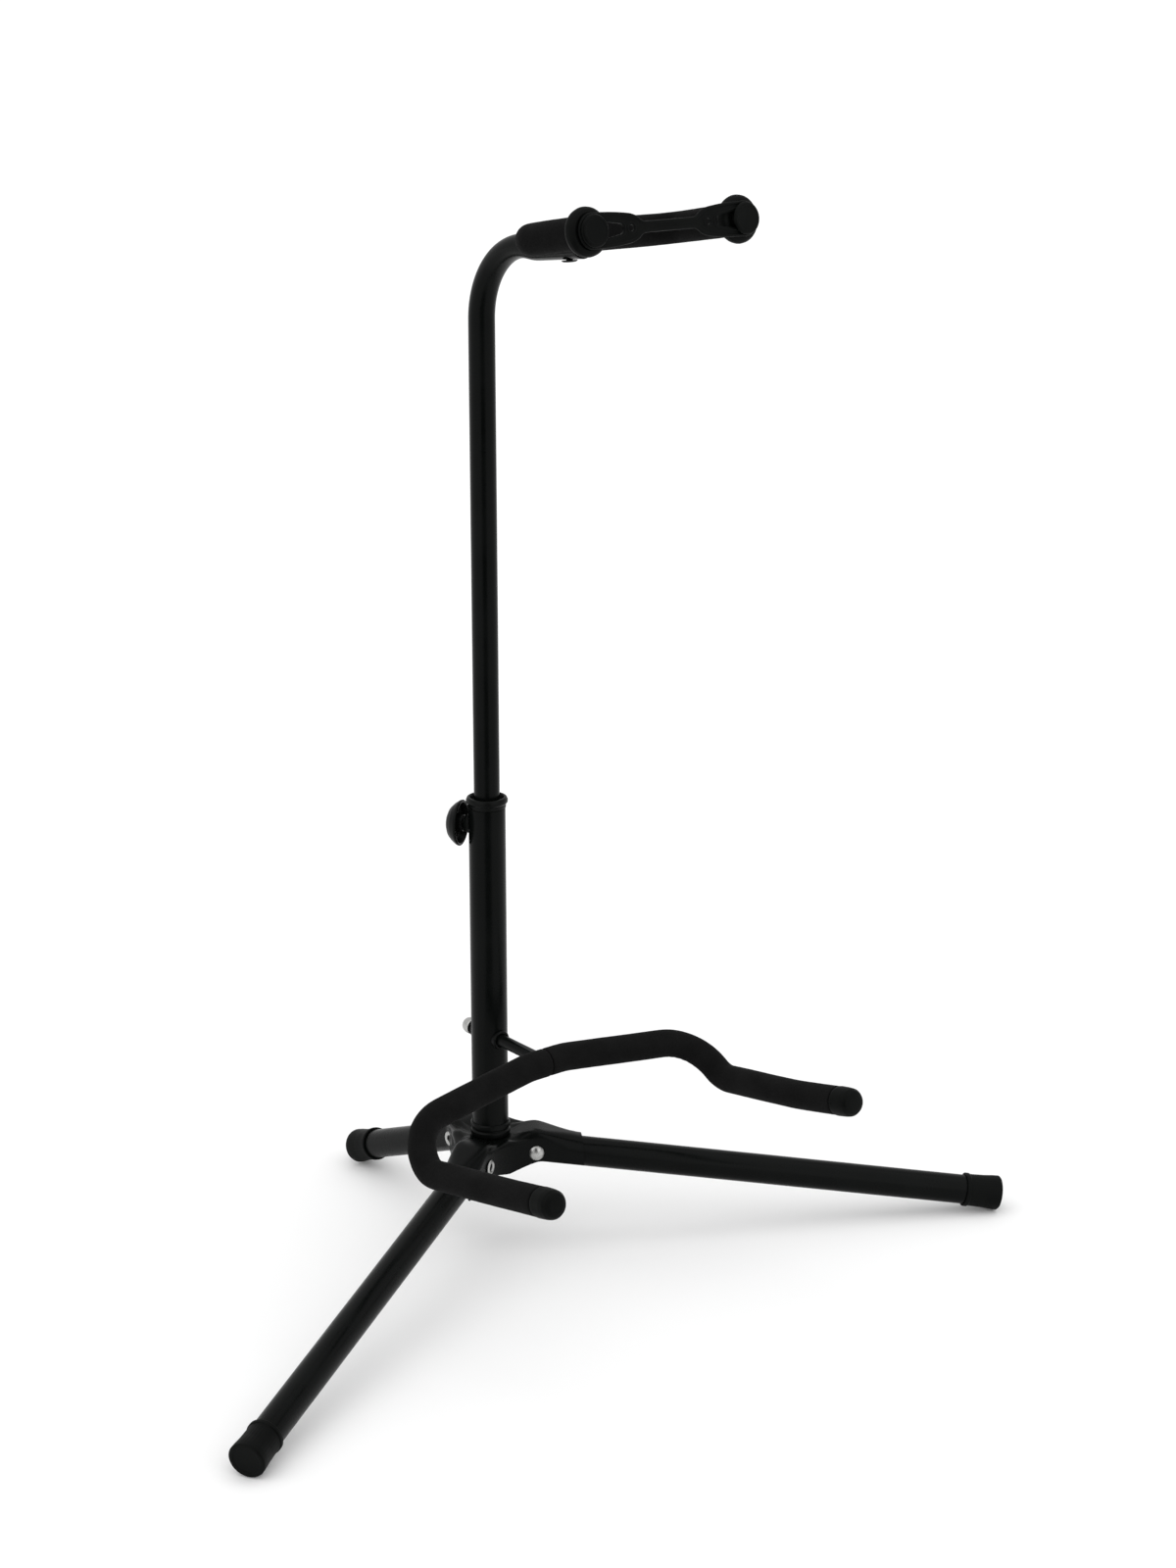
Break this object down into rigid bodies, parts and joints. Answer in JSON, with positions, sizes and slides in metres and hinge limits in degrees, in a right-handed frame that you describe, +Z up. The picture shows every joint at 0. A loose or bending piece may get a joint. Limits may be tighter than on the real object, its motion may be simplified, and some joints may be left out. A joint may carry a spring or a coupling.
{
  "type": "guitar stand",
  "caption": "Folding tripod guitar stand with a telescoping mast, padded neck yoke with a rubber security strap, and a padded body cradle.",
  "frame": {"origin": "on the floor, on the vertical axis of the mast", "axes": "+Z up, -Y the front that the guitar faces out of, -X the stand's left seen from the front"},
  "size_m": [0.6018, 0.387, 0.6884],
  "materials": {
    "base_collar": "satin black moulding",
    "clamp_boss": "satin black powder coat",
    "cradle_cap_left": "matt black rubber",
    "cradle_cap_right": "matt black rubber",
    "cradle_foam_left": "matt black closed-cell foam",
    "cradle_foam_right": "matt black closed-cell foam",
    "cradle_frame": "satin black powder coat",
    "foot_back": "matt black rubber",
    "foot_left": "matt black rubber",
    "foot_right": "matt black rubber",
    "hub_bracket": "satin black powder coat",
    "leg_back": "satin black powder coat",
    "leg_left": "satin black powder coat",
    "leg_right": "satin black powder coat",
    "lock_knob": "satin black moulding",
    "lock_screw": "bright zinc plate",
    "lower_tube": "satin black powder coat",
    "mast_foot": "satin black moulding",
    "rivet_back": "bright zinc plate",
    "rivet_left": "bright zinc plate",
    "rivet_right": "bright zinc plate",
    "security_strap": "matt black rubber",
    "stem_cap": "bright zinc plate",
    "stem_washer_front": "satin black moulding",
    "stem_washer_rear": "satin black moulding",
    "top_bush": "satin black moulding",
    "upper_tube": "satin black powder coat",
    "yoke_foam_left": "matt black closed-cell foam",
    "yoke_foam_right": "matt black closed-cell foam",
    "yoke_frame": "satin black powder coat",
    "yoke_knob_left": "matt black rubber",
    "yoke_knob_right": "matt black rubber",
    "yoke_screw": "satin black moulding"
  },
  "bodies": {
    "base": {"hub_bracket": "hub_bracket", "base_collar": "base_collar", "lower_tube": "lower_tube", "top_bush": "top_bush", "clamp_boss": "clamp_boss", "stem_washer_front": "stem_washer_front", "stem_washer_rear": "stem_washer_rear", "rivet_left": "rivet_left", "rivet_right": "rivet_right", "rivet_back": "rivet_back"},
    "lock": {"lock_screw": "lock_screw", "lock_knob": "lock_knob"},
    "mast_glide": {"mast_foot": "mast_foot"},
    "mast": {"upper_tube": "upper_tube", "yoke_frame": "yoke_frame", "yoke_screw": "yoke_screw", "yoke_foam_left": "yoke_foam_left", "yoke_foam_right": "yoke_foam_right", "yoke_knob_left": "yoke_knob_left", "yoke_knob_right": "yoke_knob_right", "security_strap": "security_strap"},
    "cradle": {"cradle_frame": "cradle_frame", "cradle_foam_left": "cradle_foam_left", "cradle_foam_right": "cradle_foam_right", "cradle_cap_left": "cradle_cap_left", "cradle_cap_right": "cradle_cap_right", "stem_cap": "stem_cap"},
    "leg_left": {"leg_left": "leg_left", "foot_left": "foot_left"},
    "leg_right": {"leg_right": "leg_right", "foot_right": "foot_right"},
    "leg_back": {"leg_back": "leg_back", "foot_back": "foot_back"}
  },
  "joints": [
    {"name": "mast_slide", "type": "slide", "parent": "base", "child": "mast_glide", "axis": [0, 0, 1], "range_m": [0, 0.095]},
    {"name": "mast_swivel", "type": "hinge", "parent": "mast_glide", "child": "mast", "pos_m": [0, 0, 0.45], "axis": [0, 0, 1], "range_deg": [-90, 90]},
    {"name": "lock_knob_turn", "type": "hinge", "parent": "base", "child": "lock", "pos_m": [-0.0097, 0.01335, 0.2846], "axis": [-0.5878, 0.809, 0], "range_deg": [-180, 180]},
    {"name": "cradle_turn", "type": "hinge", "parent": "base", "child": "cradle", "pos_m": [0, 0, 0.1424], "axis": [0, 1, 0], "range_deg": [-90, 90]},
    {"name": "leg_left_fold", "type": "hinge", "parent": "base", "child": "leg_left", "pos_m": [-0.0249, -0.01467, 0.0629], "axis": [0.5075, -0.8616, 0], "range_deg": [0, 80]},
    {"name": "leg_right_fold", "type": "hinge", "parent": "base", "child": "leg_right", "pos_m": [0.0249, -0.01467, 0.0629], "axis": [0.5075, 0.8616, 0], "range_deg": [0, 80]},
    {"name": "leg_back_fold", "type": "hinge", "parent": "base", "child": "leg_back", "pos_m": [0, 0.0289, 0.0629], "axis": [-1, 0, 0], "range_deg": [0, 68]}
  ]
}
